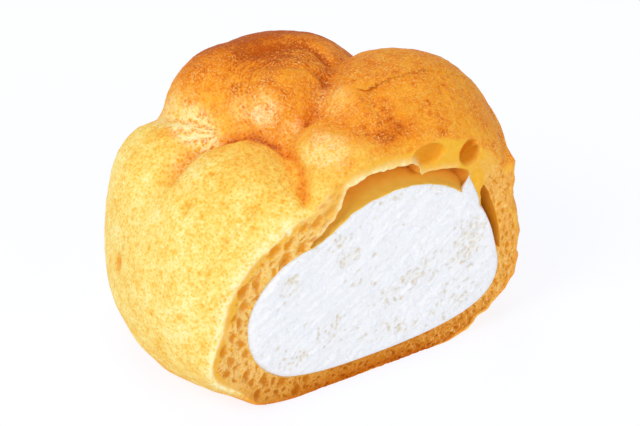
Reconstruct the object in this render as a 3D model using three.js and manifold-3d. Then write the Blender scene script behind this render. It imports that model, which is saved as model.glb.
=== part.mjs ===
// Cream puff with one side cut away: a lobed shell of choux pastry, and the whipped cream that
// fills its hollow and shows at the cut.
// Millimetres, +Z up. The knife went down along X, so the cut face is flat and looks along -Y.
//
// Every curved skin is a globe of directions round HEART, a point inside the hollow, and a
// function that says how far the skin lies from HEART in each direction.

import * as THREE from "three";
import { mergeVertices } from "three/addons/utils/BufferGeometryUtils.js";
import Module from "manifold-3d";

// ---------------------------------------------------------------- driving dimensions

const CUT_Y = -22.8; // the knife's plane, in front of the bun's middle axis
const FLAT_Z = 0.3; // where the rounded underside is pressed flat by the tray
const HEART = new THREE.Vector3(0, 0, 21);

// The swellings that the dough rose in, each an ellipsoid: its middle and its half sizes.
const LOBES = {
  core: { at: [3, 7, 21], size: [38.5, 35.5, 28] },
  foot: { at: [0, 0, 17], size: [39.5, 41, 21] },
  leftBulge: { at: [-13, 2.5, 19.5], size: [30, 37.5, 29] },
  frontLeft: { at: [-16.5, -2.5, 23], size: [26.5, 27, 27] },
  leftShoulder: { at: [-20, 12, 31.5], size: [19, 19.5, 18.5] },
  backLeft: { at: [-8.5, 18.5, 36.5], size: [17.5, 15.5, 23.5] },
  back: { at: [1, 14.5, 37.5], size: [25.5, 25, 23] },
  knob: { at: [-0.5, 8, 46], size: [15.5, 14.5, 14.5] },
  right: { at: [16, -4, 37], size: [25.5, 23.5, 23.5] },
  frontRight: { at: [14.5, -12.5, 23.5], size: [27, 21.5, 31.5] },
  frontMiddle: { at: [2.5, -11, 35.5], size: [19.5, 21.5, 19] },
};
const CRUST_BLEND = 1.1; // how sharply two lobes meet at the skin, per millimetre
const CREASE_DEPTH = 0.9; // extra fold of skin where two lobes meet
const CREASE_WIDTH = 2.4;

// The underside is a shallow dish with a full, rounded edge.
const UNDERSIDE = { radius: 48, depth: 22.2, fullness: 3.5 };
const UNDERSIDE_BLEND = 1.1;

// The hollow that the cream fills: three swellings over a dish like the underside.
const HOLLOW_LOBES = [
  { at: [-11.1, 4, 19.8], size: [21.1, 50, 18.7] },
  { at: [6.2, 4, 18.3], size: [29.9, 50, 28.8] },
  { at: [10.6, 4, 13], size: [26.8, 50, 20.5] },
];
const HOLLOW_DISH = { radius: 40.6, depth: 17.4, fullness: 3.4 };
const HOLLOW_BLEND = 1.2;
const THINNEST_WALL = 2.6;

const CLEARANCE = 0.3; // between the cream and the pastry round it

// The open space under the roof, two vaults above a film of pastry that still covers the cream,
// and the slit between the cream and the wall on the right.
const FILM = 0.9;
const VAULTS = [
  { at: [2.5, CUT_Y, 33], size: [17.5, 15, 14.2] },
  { at: [17.5, CUT_Y, 33], size: [9.3, 12, 11.2] },
];
const SIDE_SLIT = { at: [29.9, CUT_Y, 28.2], size: [1.45, 7, 8.8], lean: -16 };

// Large bubbles that the knife opened in the thick part of the roof.
const ROOF_BUBBLES = [
  { at: [14.5, CUT_Y, 47.5], size: [3.2, 2.4, 2.1] },
  { at: [24.2, CUT_Y, 45], size: [2.4, 2.6, 2.7] },
];
// Smaller bubbles in the wall, opened in a row from the left of the roof round to the base.
const WALL_BUBBLES = { count: 11, from: 130, to: 235, sizes: [1.5, 1.0, 1.8, 1.2], stretch: 1.3 };

const CRUST_DETAIL = 16; // globe subdivisions
const INSIDE_DETAIL = 11;
const ROOF_SPACE_DETAIL = 7;
const SLIT_DETAIL = 3;
const BUBBLE_DETAIL = 1;
const MERGE_DISTANCE = 1e-4;

// ---------------------------------------------------------------- distances from HEART

// The largest of the values, rounded over where two of them are close.
function softMax(values, sharpness) {
  const top = Math.max(...values);
  const sum = values.reduce((total, value) => total + Math.exp(sharpness * (value - top)), 0);
  return top + Math.log(sum) / sharpness;
}

function softMin(values, sharpness) {
  return -softMax(values.map((value) => -value), sharpness);
}

// How far a ray from HEART runs before it leaves an ellipsoid, or 0 where it misses.
function reachOfLobe(direction, { at, size }) {
  const half = new THREE.Vector3(...size);
  const ray = direction.clone().divide(half);
  const start = HEART.clone().sub(new THREE.Vector3(...at)).divide(half);
  const a = ray.dot(ray);
  const b = ray.dot(start);
  const root = b * b - a * (start.dot(start) - 1);
  return root > 0 ? Math.max((Math.sqrt(root) - b) / a, 0) : 0;
}

// A dish below HEART with upright sides above it.
function reachOfDish(direction, { radius, depth, fullness }) {
  const across = Math.hypot(direction.x, direction.y) / radius;
  const down = Math.max(-direction.z, 0) / depth;
  return 1 / Math.max(across ** fullness + down ** fullness, 1e-6) ** (1 / fullness);
}

function reachOfCrust(direction) {
  const reaches = Object.values(LOBES).map((lobe) => reachOfLobe(direction, lobe));
  const [first, second] = [...reaches].sort((one, other) => other - one);
  const crease = CREASE_DEPTH * Math.exp(-(((first - second) / CREASE_WIDTH) ** 2));
  const top = softMax(reaches, CRUST_BLEND) - crease;
  return softMin([top, reachOfDish(direction, UNDERSIDE)], UNDERSIDE_BLEND);
}

function reachOfHollow(direction) {
  const lobes = HOLLOW_LOBES.map((lobe) => reachOfLobe(direction, lobe));
  const limits = [reachOfDish(direction, HOLLOW_DISH), reachOfCrust(direction) - THINNEST_WALL];
  return softMin([softMax(lobes, HOLLOW_BLEND), ...limits], HOLLOW_BLEND);
}

// ---------------------------------------------------------------- solids

const wasm = await Module();
wasm.setup();

// Keeps only the positions, with each shared corner once.
function bare(geometry) {
  geometry.deleteAttribute("normal");
  geometry.deleteAttribute("uv");
  return mergeVertices(geometry, MERGE_DISTANCE);
}

function toSolid(geometry) {
  return new wasm.Manifold(new wasm.Mesh({
    numProp: 3,
    vertProperties: new Float32Array(geometry.attributes.position.array),
    triVerts: new Uint32Array(geometry.index.array),
  }));
}

function toGeometry(solid) {
  const mesh = solid.getMesh();
  const geometry = new THREE.BufferGeometry();
  geometry.setAttribute("position", new THREE.BufferAttribute(mesh.vertProperties, mesh.numProp));
  geometry.setIndex(new THREE.BufferAttribute(mesh.triVerts, 1));
  return geometry;
}

// A closed skin round HEART whose distance in each direction is given by a function.
function skin(reach, detail) {
  const geometry = bare(new THREE.IcosahedronGeometry(1, detail));
  const position = geometry.attributes.position;
  const direction = new THREE.Vector3();
  for (let i = 0; i < position.count; i += 1) {
    direction.fromBufferAttribute(position, i).normalize();
    const point = direction.clone().multiplyScalar(reach(direction)).add(HEART);
    position.setXYZ(i, point.x, point.y, point.z);
  }
  return toSolid(geometry);
}

function ellipsoid({ at, size, lean = 0 }, detail) {
  const geometry = bare(new THREE.IcosahedronGeometry(1, detail));
  geometry.scale(...size);
  geometry.rotateY(THREE.MathUtils.degToRad(lean));
  geometry.translate(...at);
  return toSolid(geometry);
}

// All that lies behind the knife and above the tray.
function keptSpace() {
  const side = 200; // larger than the bun
  const geometry = new THREE.BoxGeometry(side, side, side);
  geometry.translate(0, CUT_Y + side / 2, FLAT_Z + side / 2);
  return toSolid(bare(geometry));
}

// The place on the knife's plane, at an angle round HEART, that lies midway through the wall.
function middleOfWall(angle) {
  const [across, up] = [Math.cos(angle), Math.sin(angle)];
  let radius = Math.abs(CUT_Y);
  for (let step = 0; step < 20; step += 1) {
    const direction = new THREE.Vector3(across * radius, CUT_Y - HEART.y, up * radius);
    const distance = direction.length();
    direction.normalize();
    radius += (reachOfCrust(direction) + reachOfHollow(direction)) / 2 - distance;
  }
  return [across * radius + HEART.x, CUT_Y, up * radius + HEART.z];
}

function wallBubbles() {
  const { count, from, to, sizes, stretch } = WALL_BUBBLES;
  return Array.from({ length: count }, (_, i) => {
    const degrees = from + ((to - from) * i) / (count - 1);
    const radius = sizes[i % sizes.length];
    const size = [radius, radius, radius * stretch];
    return { at: middleOfWall(THREE.MathUtils.degToRad(degrees)), size, lean: 90 - degrees };
  });
}

function roofSpace() {
  const film = skin((direction) => reachOfHollow(direction) + FILM, INSIDE_DETAIL);
  const [left, right] = VAULTS.map((vault) => ellipsoid(vault, ROOF_SPACE_DETAIL));
  return left.add(right).subtract(film);
}

function chouxShell() {
  const hollow = skin(reachOfHollow, INSIDE_DETAIL);
  let shell = skin(reachOfCrust, CRUST_DETAIL).subtract(hollow).subtract(roofSpace());
  shell = shell.subtract(ellipsoid(SIDE_SLIT, SLIT_DETAIL));
  for (const bubble of [...ROOF_BUBBLES, ...wallBubbles()]) {
    shell = shell.subtract(ellipsoid(bubble, BUBBLE_DETAIL));
  }
  return shell.intersect(keptSpace());
}

function creamFilling() {
  const cream = skin((direction) => reachOfHollow(direction) - CLEARANCE, INSIDE_DETAIL);
  return cream.intersect(keptSpace());
}

// ---------------------------------------------------------------- the part

const CRUST_FINISH = new THREE.MeshStandardMaterial({ color: 0xe9b04c, roughness: 0.5, metalness: 0 });
const CREAM_FINISH = new THREE.MeshStandardMaterial({ color: 0xf7f7f4, roughness: 0.6, metalness: 0 });

function piece(name, solid, material) {
  const mesh = new THREE.Mesh(toGeometry(solid), material);
  mesh.name = name;
  return mesh;
}

const puff = new THREE.Group();
puff.name = "cream_puff";
puff.add(piece("choux_shell", chouxShell(), CRUST_FINISH));
puff.add(piece("cream_filling", creamFilling(), CREAM_FINISH));

// The origin goes to the middle of the whole part's base.
const box = new THREE.Box3().setFromObject(puff);
const middle = box.getCenter(new THREE.Vector3());
puff.position.set(-middle.x, -middle.y, -box.min.z);

export default puff;
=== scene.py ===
"""A cream puff with one side cut away: the baked shell with its open crumb, and the whipped
cream inside. Lengths are millimetres in the bun's own frame until a mesh is finished."""

import math

import bpy
import numpy as np
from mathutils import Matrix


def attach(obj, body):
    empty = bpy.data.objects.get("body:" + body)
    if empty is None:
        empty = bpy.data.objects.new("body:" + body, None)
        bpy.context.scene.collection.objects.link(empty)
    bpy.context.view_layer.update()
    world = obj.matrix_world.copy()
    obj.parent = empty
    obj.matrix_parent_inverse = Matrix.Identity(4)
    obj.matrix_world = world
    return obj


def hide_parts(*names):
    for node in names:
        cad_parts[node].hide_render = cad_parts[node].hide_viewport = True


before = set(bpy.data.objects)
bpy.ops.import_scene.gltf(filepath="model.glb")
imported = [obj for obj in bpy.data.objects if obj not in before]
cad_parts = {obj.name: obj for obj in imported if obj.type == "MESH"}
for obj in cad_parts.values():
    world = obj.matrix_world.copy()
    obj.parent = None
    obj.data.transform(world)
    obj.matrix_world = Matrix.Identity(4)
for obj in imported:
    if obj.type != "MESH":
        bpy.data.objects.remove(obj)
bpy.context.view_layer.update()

MM = 0.001
# Where the middle axis of the bun, at tray height, lies in the part's frame.
BUN_PLACE = np.array([0.560, -9.726, -0.3])

CUT_Y = -22.8  # the knife's plane
FLAT_Z = 0.3  # where the tray pressed the underside flat
HEART = np.array([0.0, 0.0, 21.0])  # a point inside the hollow, from which the skins are measured

# How finely the meshes are divided.
CRUST_GLOBE = (2, 40)  # subdivisions of a ball, then cuts of each edge
HOLLOW_GLOBE = (2, 18)
KNIFE_PITCH = 0.24
SPATULA_PITCH = 0.27
BLOCK_DEPTH = 90

# ---------------------------------------------------------------- camera

CAMERA_TURN = math.radians(-32)
CAMERA_RISE = math.radians(32)
CAMERA_DISTANCE = 480.0
CAMERA_TARGET = np.array([-1.8, -6.6, 31.2])
CAMERA_LENS = 130.95
SENSOR_WIDTH = 36
NEAREST_SEEN = 0.01  # metres


def to_part(points):
    return (np.asarray(points, dtype=float) + BUN_PLACE) * MM


def add_camera():
    back = np.array([
        math.sin(CAMERA_TURN) * math.cos(CAMERA_RISE),
        -math.cos(CAMERA_TURN) * math.cos(CAMERA_RISE),
        math.sin(CAMERA_RISE),
    ])
    data = bpy.data.cameras.new("camera")
    data.lens = CAMERA_LENS
    data.sensor_width = SENSOR_WIDTH
    data.clip_start = NEAREST_SEEN
    camera = bpy.data.objects.new("camera", data)
    bpy.context.scene.collection.objects.link(camera)
    camera.location = to_part(CAMERA_TARGET + back * CAMERA_DISTANCE)
    camera.rotation_euler = (math.pi / 2 - CAMERA_RISE, 0, CAMERA_TURN)
    bpy.context.scene.camera = camera


add_camera()

# ---------------------------------------------------------------- steps, humps and noise


def smooth_step(low, high, values):
    t = np.clip((values - low) / (high - low), 0, 1)
    return t * t * (3 - 2 * t)


def band(rise, fall, values):
    """1 between a soft rise and a soft fall, each given by where it starts and ends."""
    return smooth_step(*rise, values) * (1 - smooth_step(*fall, values))


def bell(distance, width):
    """A smooth hump: 1 in the middle, 0.37 at its width and nothing far off."""
    return np.exp(-((distance / width) ** 2))


def away(points, place, half=1.0):
    """How far points lie from a place, in half sizes."""
    return np.linalg.norm((points - np.array(place)) / np.array(half), axis=1)


def humps(points, table):
    """The sum of round humps, each given by its place, radius and height."""
    return sum(height * bell(away(points, place), radius) for place, radius, height in table)


def oval(x, z, place, half=(1, 1)):
    """How far places on the knife's face lie from one of them, in half sizes across and up."""
    return np.hypot((x - place[0]) / half[0], (z - place[1]) / half[1])


def set_out(x, z, y=0.0):
    """Places with the given x and z, all at one y or each at its own."""
    return np.stack([x, np.full_like(x, y), z], axis=1)


def way_at(degrees):
    return math.cos(math.radians(degrees)), math.sin(math.radians(degrees))


def along_and_off(dx, dz, way):
    """How far places lie along a way, and how far off it to its left."""
    return dx * way[0] + dz * way[1], dz * way[0] - dx * way[1]


# Large numbers that scramble the whole numbers of a place into a random one.
SEED_FACTOR = 2654435761
AXIS_FACTORS = (73856093, 19349663, 83492791)
SCRAMBLES = ((15, 0x2C1B3C6D), (12, 0x297A2D39))  # shift, factor
WAVE_SHIFT = 17.3  # keeps waves of one size from lining up with those of the next


def random_at(cells, seed):
    """A number from 0 to 1 for each row of whole numbers."""
    mixed = np.uint32(seed * SEED_FACTOR % 2**32)
    for axis, factor in enumerate(AXIS_FACTORS):
        mixed = mixed ^ cells[:, axis].astype(np.int64).astype(np.uint32) * np.uint32(factor)
    for shift, factor in SCRAMBLES * 2:
        mixed = (mixed ^ (mixed >> np.uint32(shift))) * np.uint32(factor)
    return (mixed ^ (mixed >> np.uint32(SCRAMBLES[0][0]))).astype(float) / 2**32


def swell(points, size, seed):
    """Soft random waves of a given size, from -1 to 1."""
    scaled = points / size
    cell = np.floor(scaled)
    t = scaled - cell
    t = t * t * t * (t * (t * 6 - 15) + 10)
    total = np.zeros(len(points))
    for corner in np.ndindex(2, 2, 2):
        weight = np.prod(np.where(np.array(corner) == 1, t, 1 - t), axis=1)
        total += weight * random_at(cell + corner, seed)
    return total * 2 - 1


def rough(points, size, seed, octaves=2):
    """Waves on waves, each half the size and height of the last."""
    total, sum_of_heights = np.zeros(len(points)), 0.0
    for octave in range(octaves):
        height = 0.5**octave
        total += height * swell(points + octave * WAVE_SHIFT, size / 2**octave, seed + octave)
        sum_of_heights += height
    return total / sum_of_heights


def nearest_spots(points, spacing, seed):
    """How far the nearest of many scattered spots lies, in spacings (true up to a half), and the
    spot's own random number."""
    scaled = points / spacing
    home = np.floor(scaled - 0.5)
    best, number = np.full(len(points), np.inf), np.zeros(len(points))
    for step in np.ndindex(2, 2, 2):
        cell = home + np.array(step)
        spot = cell + np.stack([random_at(cell, seed + axis) for axis in range(3)], axis=1)
        distance = np.linalg.norm(scaled - spot, axis=1)
        number = np.where(distance < best, random_at(cell, seed + 5), number)
        best = np.minimum(distance, best)
    return best, number


def scattered(points, spots):
    """Round marks on some of many scattered spots, 1 in the middle of each."""
    distance, number = nearest_spots(points, spots["spacing"], spots["seed"])
    return np.where(number > spots["left_out"], bell(distance, spots["radius"]), 0)


def distance_to_line(points, line):
    """The distance from each point to a line through given places."""
    line = np.array(line, dtype=float)
    best = np.full(len(points), np.inf)
    for start, end in zip(line[:-1], line[1:]):
        along = end - start
        t = np.clip((points - start) @ along / (along @ along), 0, 1)
        best = np.minimum(best, np.linalg.norm(points - start - t[:, None] * along, axis=1))
    return best


# ---------------------------------------------------------------- how far each skin lies from HEART

LOBES = {  # the swellings that the dough rose in: middle, half sizes
    "core": ((3, 7, 21), (38.5, 35.5, 28)),
    "foot": ((0, 0, 17), (39.5, 41, 21)),
    "left_bulge": ((-13, 2.5, 19.5), (30, 37.5, 29)),
    "front_left": ((-16.5, -2.5, 23), (26.5, 27, 27)),
    "left_shoulder": ((-20, 12, 31.5), (19, 19.5, 18.5)),
    "back_left": ((-8.5, 18.5, 36.5), (17.5, 15.5, 23.5)),
    "back": ((1, 14.5, 37.5), (25.5, 25, 23)),
    "knob": ((-0.5, 8, 46), (15.5, 14.5, 14.5)),
    "right": ((16, -4, 37), (25.5, 23.5, 23.5)),
    "front_right": ((14.5, -12.5, 23.5), (27, 21.5, 31.5)),
    "front_middle": ((2.5, -11, 35.5), (19.5, 21.5, 19)),
}
CRUST_BLEND = 1.1
FULLY_CAUGHT = 6  # a lobe counts in full once a ray runs this far inside it
# How deep the crease is where two lobes meet; other pairs run into each other softly.
CREASES = {
    ("front_left", "knob"): 1.7,
    ("front_left", "back_left"): 1.0,
    ("front_left", "front_middle"): 1.7,
    ("front_left", "left_shoulder"): 1.2,
    ("left_shoulder", "back_left"): 0.9,
    ("back_left", "knob"): 0.9,
    ("back", "knob"): 1.0,
    ("knob", "right"): 1.5,
    ("knob", "front_middle"): 1.4,
    ("back", "right"): 1.3,
    ("right", "front_middle"): 0.9,
    ("front_left", "front_right"): 0.9,
}
PLAIN_CREASE = 0.1
CREASE_SHARPNESS = 0.9
CREASED_ABOVE = (37, 46)  # the height at which creases begin, and where they are whole

# Dishes: radius, depth, fullness of the rounded edge.
UNDERSIDE = (48, 22.2, 3.5)
UNDERSIDE_BLEND = 1.1
HOLLOW_DISH = (40.6, 17.4, 3.4)
HOLLOW_LOBES = [
    ((-11.1, 4, 19.8), (21.1, 50, 18.7)), ((6.2, 4, 18.3), (29.9, 50, 28.8)),
    ((10.6, 4, 13), (26.8, 50, 20.5)),
]
HOLLOW_BLEND = 1.2
THINNEST_WALL = 2.6
CREAM_GAP = 0.02  # keeps the cream's skin and the hollow's from lying in one another


def soft_max(values, sharpness):
    top = values.max(axis=0)
    return top + np.log(np.exp(sharpness * (values - top)).sum(axis=0)) / sharpness


def soft_min(values, sharpness):
    return -soft_max(-np.array(values), sharpness)


def reach_and_chord(rays, lobe):
    """How far each ray runs before it leaves a lobe, and how long it runs inside it."""
    half = np.array(lobe[1], dtype=float)
    ray, start = rays / half, (HEART - np.array(lobe[0])) / half
    a, b = (ray * ray).sum(axis=1), ray @ start
    root = np.sqrt(np.maximum(b * b - a * (start @ start - 1), 0))
    return np.where(root > 0, np.maximum((root - b) / a, 0), 0), root / a


def reach_of_dish(rays, dish):
    radius, depth, fullness = dish
    across = np.hypot(rays[:, 0], rays[:, 1]) / radius
    down = np.maximum(-rays[:, 2], 0) / depth
    return 1 / np.maximum(across**fullness + down**fullness, 1e-6) ** (1 / fullness)


def crust_lobes(rays):
    """The plain lobed reach, and how deep the creases are in each direction."""
    reaches, chords = map(np.array, zip(*(reach_and_chord(rays, lobe) for lobe in LOBES.values())))
    top, caught = reaches.max(axis=0), smooth_step(0, FULLY_CAUGHT, chords)
    plain = top + np.log((caught * np.exp(CRUST_BLEND * (reaches - top))).sum(axis=0)) / CRUST_BLEND
    share = np.exp(CREASE_SHARPNESS * (reaches - top)) * caught
    share /= share.sum(axis=0)
    crease = np.zeros(len(rays))
    for i, one in enumerate(LOBES):
        for j, other in enumerate(list(LOBES)[:i]):
            crease += CREASES.get((other, one), PLAIN_CREASE) * 4 * share[i] * share[j]
    return plain, crease * smooth_step(*CREASED_ABOVE, HEART[2] + rays[:, 2] * plain)


def reach_of_crust(rays):
    return soft_min([crust_lobes(rays)[0], reach_of_dish(rays, UNDERSIDE)], UNDERSIDE_BLEND)


def reach_of_hollow(rays):
    lobes = np.array([reach_and_chord(rays, lobe)[0] for lobe in HOLLOW_LOBES])
    limits = [reach_of_dish(rays, HOLLOW_DISH), reach_of_crust(rays) - THINNEST_WALL]
    return soft_min([soft_max(lobes, HOLLOW_BLEND), *limits], HOLLOW_BLEND)


def unit(vectors):
    return vectors / np.linalg.norm(vectors, axis=1, keepdims=True)


# ---------------------------------------------------------------- the crust's own relief

# Waves all over the crust: size, seed, height, how much higher they are on top.
SKIN_WAVES = [(13, 1, 0.55, 0), (3.4, 2, 0.16, 0), (1.7, 3, 0.04, 0.10)]
SKIN_LOWERED = 0.3  # how far the waved skin lies below the lobes
TOP_OF_BUN = (34, 50)  # the height at which the glossy top begins, and where it is whole
PORES = {"spacing": 2.1, "seed": 20, "left_out": 0.62, "radius": 0.26, "depth": 0.14}
PIMPLES = {"spacing": 1.25, "seed": 30, "left_out": 0.5, "radius": 0.36, "height": 0.10}
WRINKLES = (2.2, 9)  # size, seed
# Broad swellings and hollows that the lobes leave out: place, radius, height.
NUDGES = [
    ((-17, 27, 53), 7, -0.8), ((-21, 28, 47.5), 4.5, -2.0), ((-38, 24, 21), 9, -1.1),
    ((-25, -23, 2), 5, 1.2), ((-14.5, -21.5, 43.5), 5.5, 2.0), ((27, -23, 1.5), 5, -2.2),
    ((36, -23, 12), 4, 0.7), ((37.5, -22.5, 29), 5, -1.3), ((31, -1, 55), 7, 0.5),
    ((-18, 3, 50), 2.5, -0.4),
]
SPREAD_FOOT = [((-36.5, -23, 12.5), 6.5, 2.9)]  # the bun spreads at the cut's lower left corner
DENTS = [  # place, radius, depth
    ((-41.6, 6.6, 25.6), 1.7, 0.7), ((-42.1, -4.3, 26.8), 0.8, 0.5), ((-42.2, -5.6, 25.6), 0.8, 0.5),
    ((-33.1, -6.5, 43.4), 1.2, 0.8), ((-34, -7.2, 42.4), 0.9, 0.6), ((-26.3, -5, 47.8), 0.9, 0.5),
    ((13.3, 4.7, 58.4), 1.3, 0.8), ((10.3, -18.1, 54.5), 0.8, 0.3), ((5.8, -17, 53.7), 0.8, 0.3),
    ((13.4, -21.5, 52), 0.7, 0.3),
]
# The folds round the front left lobe and below the knob: line, depth, half width, deeper colour.
LOBE_FOLDS = [
    ([(-31.6, 2.3, 44.1), (-24.6, 4.8, 48), (-19.5, 2.8, 49.8)], 1.1, 1.4, 0.6),
    ([(-19.5, 2.8, 49.8), (-14.6, 0.4, 50.2), (-11.6, -4.2, 49.9)], 1.0, 1.2, 1.3),
    ([(-11.2, -5.5, 49.8), (-10.2, -9.9, 49.3), (-10.9, -13.6, 48.7), (-12.4, -17, 46.6),
      (-14, -20.7, 44.5)], 0.8, 0.8, 0.62),
    ([(5.2, 2.6, 58), (-0.1, -3.8, 54.9), (-4.4, -5, 52.6), (-9.9, -6.6, 49.8)], 0.7, 1.0, 0.1),
]
# The two folds behind the knob and the ridge in front of it: line, half width, height, and how
# much the colour deepens. Of these two, the first part is steady, and the second follows the
# wrinkles.
KNOB_FOLDS = [
    ([(-11, 14.2, 57.8), (-5.2, 16.2, 59.1), (-1, 15.9, 59.9), (5.6, 14.6, 59.6),
      (8.6, 10.8, 58.9), (8.8, 8.1, 58.3)], 1.5, (-1.36, -0.34), (1.5, 0.75)),
    ([(-8, 12.5, 58.2), (-6, 11.3, 59.1), (-3.4, 9.3, 59.7), (-1.5, 6.7, 59.9),
      (2.1, 4.6, 59.3), (3.4, 2.9, 58.6), (4.2, 1.5, 57.8)], 1.1, (-0.63, -0.27), (0.4, 0)),
    ([(-5.2, -4.4, 52.3), (-3.5, -5.5, 52.8), (-2.6, -8.6, 53.3), (-0.2, -10.1, 54),
      (2.1, -12.1, 54.5), (3.9, -14.5, 54.4)], 1.3, (0.2, 0.5), (0, 0)),
]
DARK_FOLD_HALF = 1.0
# Fine wrinkles that run round the knob, on its back half.
KNOB_RINGS = {
    "middle": (-4, 4, 58), "spacing": 2.3, "waviness": 5, "height": 0.09, "deeper": 0.15,
    "rise": (3, 7), "fall": (11, 15), "behind": (-3, 3),
}
# The light patch that is stretched between three lobes, with pleats that fan out from its apex.
FACET = {
    "middle": (-22.2, 10, 49.6), "half": (4.6, 7, 5), "edge": (0.6, 1.2), "paleness": 0.85,
    "along": (0.38, -0.92, 0.05), "stretch": 0.8, "grain": (1.7, 11), "grain_height": 0.35,
    "apex": (-18, 5, 50), "out": (-0.38, 0.92, 0), "up": (0.92, 0.38, 0),
    "pleats": 11, "pleat_height": 0.28, "waviness": 0.15, "lowered": 0.5,
}
# A flake of skin that lifted beside the cut. The crack along it leans with the height.
FLAKE = {
    "line": [(32.6, -18.5, 45.5), (34, -20, 42.5), (34.8, -21.5, 38.5)], "half": 2.2,
    "height": 1.0, "lowered": 0.3, "crack_x": 33.6, "crack_z": 42, "crack_lean": 0.25,
    "crack_half": 0.3,
}
# The crust is ragged where the knife left it, in front, on the right and below the roof.
RAGGED = {"front": (16, 21), "right": (14, 24), "below": (38, 44), "waves": (3.0, 15), "height": 0.95}
UNDERSIDE_WAVES = (2.4, 5, 0.12)  # size, seed, height
PALE_PATCHES = [  # middle, half sizes, amount: where the skin stretched thin and stayed light; on and round the knob this paleness is also a painted highlight of the glossy top
    ((-10.2, 2, 55), (3.6, 4.2, 4), 1.0), ((-21.6, 10.5, 49.9), (3.6, 6.5, 4), 0.85),
    ((2.6, -4.8, 56.2), (3.4, 5.5, 4), 0.75), ((-5.5, -14.8, 51), (4.4, 5.6, 5), 0.8),
    ((-22, 17, 48), (5, 5, 7), 0.6), ((-13.5, 5.5, 54.5), (2.6, 3, 3), 0.5),
    ((-7.5, -4, 52.8), (3, 1.6, 2), 0.6), ((-28, 2, 46), (6, 6, 5), 0.3),
    ((-19.1, -21.7, 41.2), (1.2, 1.5, 1.6), 1.0), ((1.5, -19, 51), (9, 2, 2.5), 0.15),
]


def laid_on_crust(line):
    rays = unit(np.array(line, dtype=float) - HEART)
    return HEART + rays * crust_lobes(rays)[0][:, None]


def skin_grain(base):
    """Waves, pores and pimples all over the crust, and where the pores are."""
    high = smooth_step(*TOP_OF_BUN, base[:, 2])
    relief = -SKIN_LOWERED
    for size, seed, height, on_top in SKIN_WAVES:
        relief = relief + (height + on_top * high) * rough(base, size, seed)
    pore = scattered(base, PORES)
    pimple = scattered(base, PIMPLES) * (0.25 + 0.75 * high)
    return relief - PORES["depth"] * pore + PIMPLES["height"] * pimple, pore


def lobe_folds(base, wrinkle):
    """The folds between the lobes: their depth, and how much deeper the colour is in them."""
    depth, deeper_by = np.zeros(len(base)), np.zeros(len(base))
    for line, deep, half, deeper in LOBE_FOLDS:
        near = bell(distance_to_line(base, laid_on_crust(line)), half)
        depth = np.maximum(depth, deep * near)
        deeper_by = np.maximum(deeper_by, deeper * (1.1 * near**0.7 + 0.35 * near**6))
    return depth * (1 + 0.2 * wrinkle), deeper_by


def knob_folds(base, wrinkle):
    """The relief of the knob's folds, and how much deeper the colour is in them."""
    relief, deeper_by = np.zeros(len(base)), np.zeros(len(base))
    for line, half, height, deeper in KNOB_FOLDS:
        distance = distance_to_line(base, line)
        relief += bell(distance, half) * (height[0] + height[1] * wrinkle)
        deeper_by += bell(distance, DARK_FOLD_HALF) * (deeper[0] + deeper[1] * wrinkle)
    return relief, deeper_by


def knob_rings(base, wrinkle):
    """The distance from the knob, how much the rings show, and the rings themselves."""
    distance = away(base, KNOB_RINGS["middle"])
    rings = np.sin(distance * 2 * math.pi / KNOB_RINGS["spacing"] + KNOB_RINGS["waviness"] * wrinkle)
    shown = band(KNOB_RINGS["rise"], KNOB_RINGS["fall"], distance)
    shown = shown * smooth_step(*KNOB_RINGS["behind"], base[:, 1])
    return distance, shown, rings * shown


def crumpled_patch(base):
    """The stretched patch: its share at each place, the angle across its pleats, its relief."""
    stretched = 1 - smooth_step(*FACET["edge"], away(base, FACET["middle"], FACET["half"]))
    along = np.array(FACET["along"])
    drawn_out = base - np.outer(base @ along, along) * FACET["stretch"]
    from_apex = base - np.array(FACET["apex"])
    fan = np.arctan2(from_apex @ np.array(FACET["up"]), from_apex @ np.array(FACET["out"]))
    fan = fan + FACET["waviness"] * swell(base, 3, 12)
    relief = FACET["grain_height"] * rough(drawn_out, *FACET["grain"]) - FACET["lowered"]
    return stretched, fan, stretched * (relief + FACET["pleat_height"] * np.sin(fan * FACET["pleats"]))


def lifted_flake(base):
    past_crack = base[:, 0] + FLAKE["crack_lean"] * (base[:, 2] - FLAKE["crack_z"]) - FLAKE["crack_x"]
    lifted = FLAKE["height"] * smooth_step(-FLAKE["crack_half"], FLAKE["crack_half"], past_crack)
    return bell(distance_to_line(base, FLAKE["line"]), FLAKE["half"]) * (lifted - FLAKE["lowered"])


def ragged_edge(base):
    x, y, z = base.T
    share = smooth_step(*RAGGED["front"], -y) * smooth_step(*RAGGED["right"], x)
    share = share * (1 - smooth_step(*RAGGED["below"], z))
    return share * (RAGGED["height"] * rough(base, *RAGGED["waves"]) + 0.05)


def paleness(base, wrinkle, stretched):
    pale = np.zeros(len(base))
    for place, half, amount in PALE_PATCHES:
        ragged = away(base, place, half) + 0.25 * wrinkle
        pale = np.maximum(pale, amount * (1 - smooth_step(0.5, 1.3, ragged)))
    return pale * (1 - stretched) + FACET["paleness"] * stretched


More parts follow.
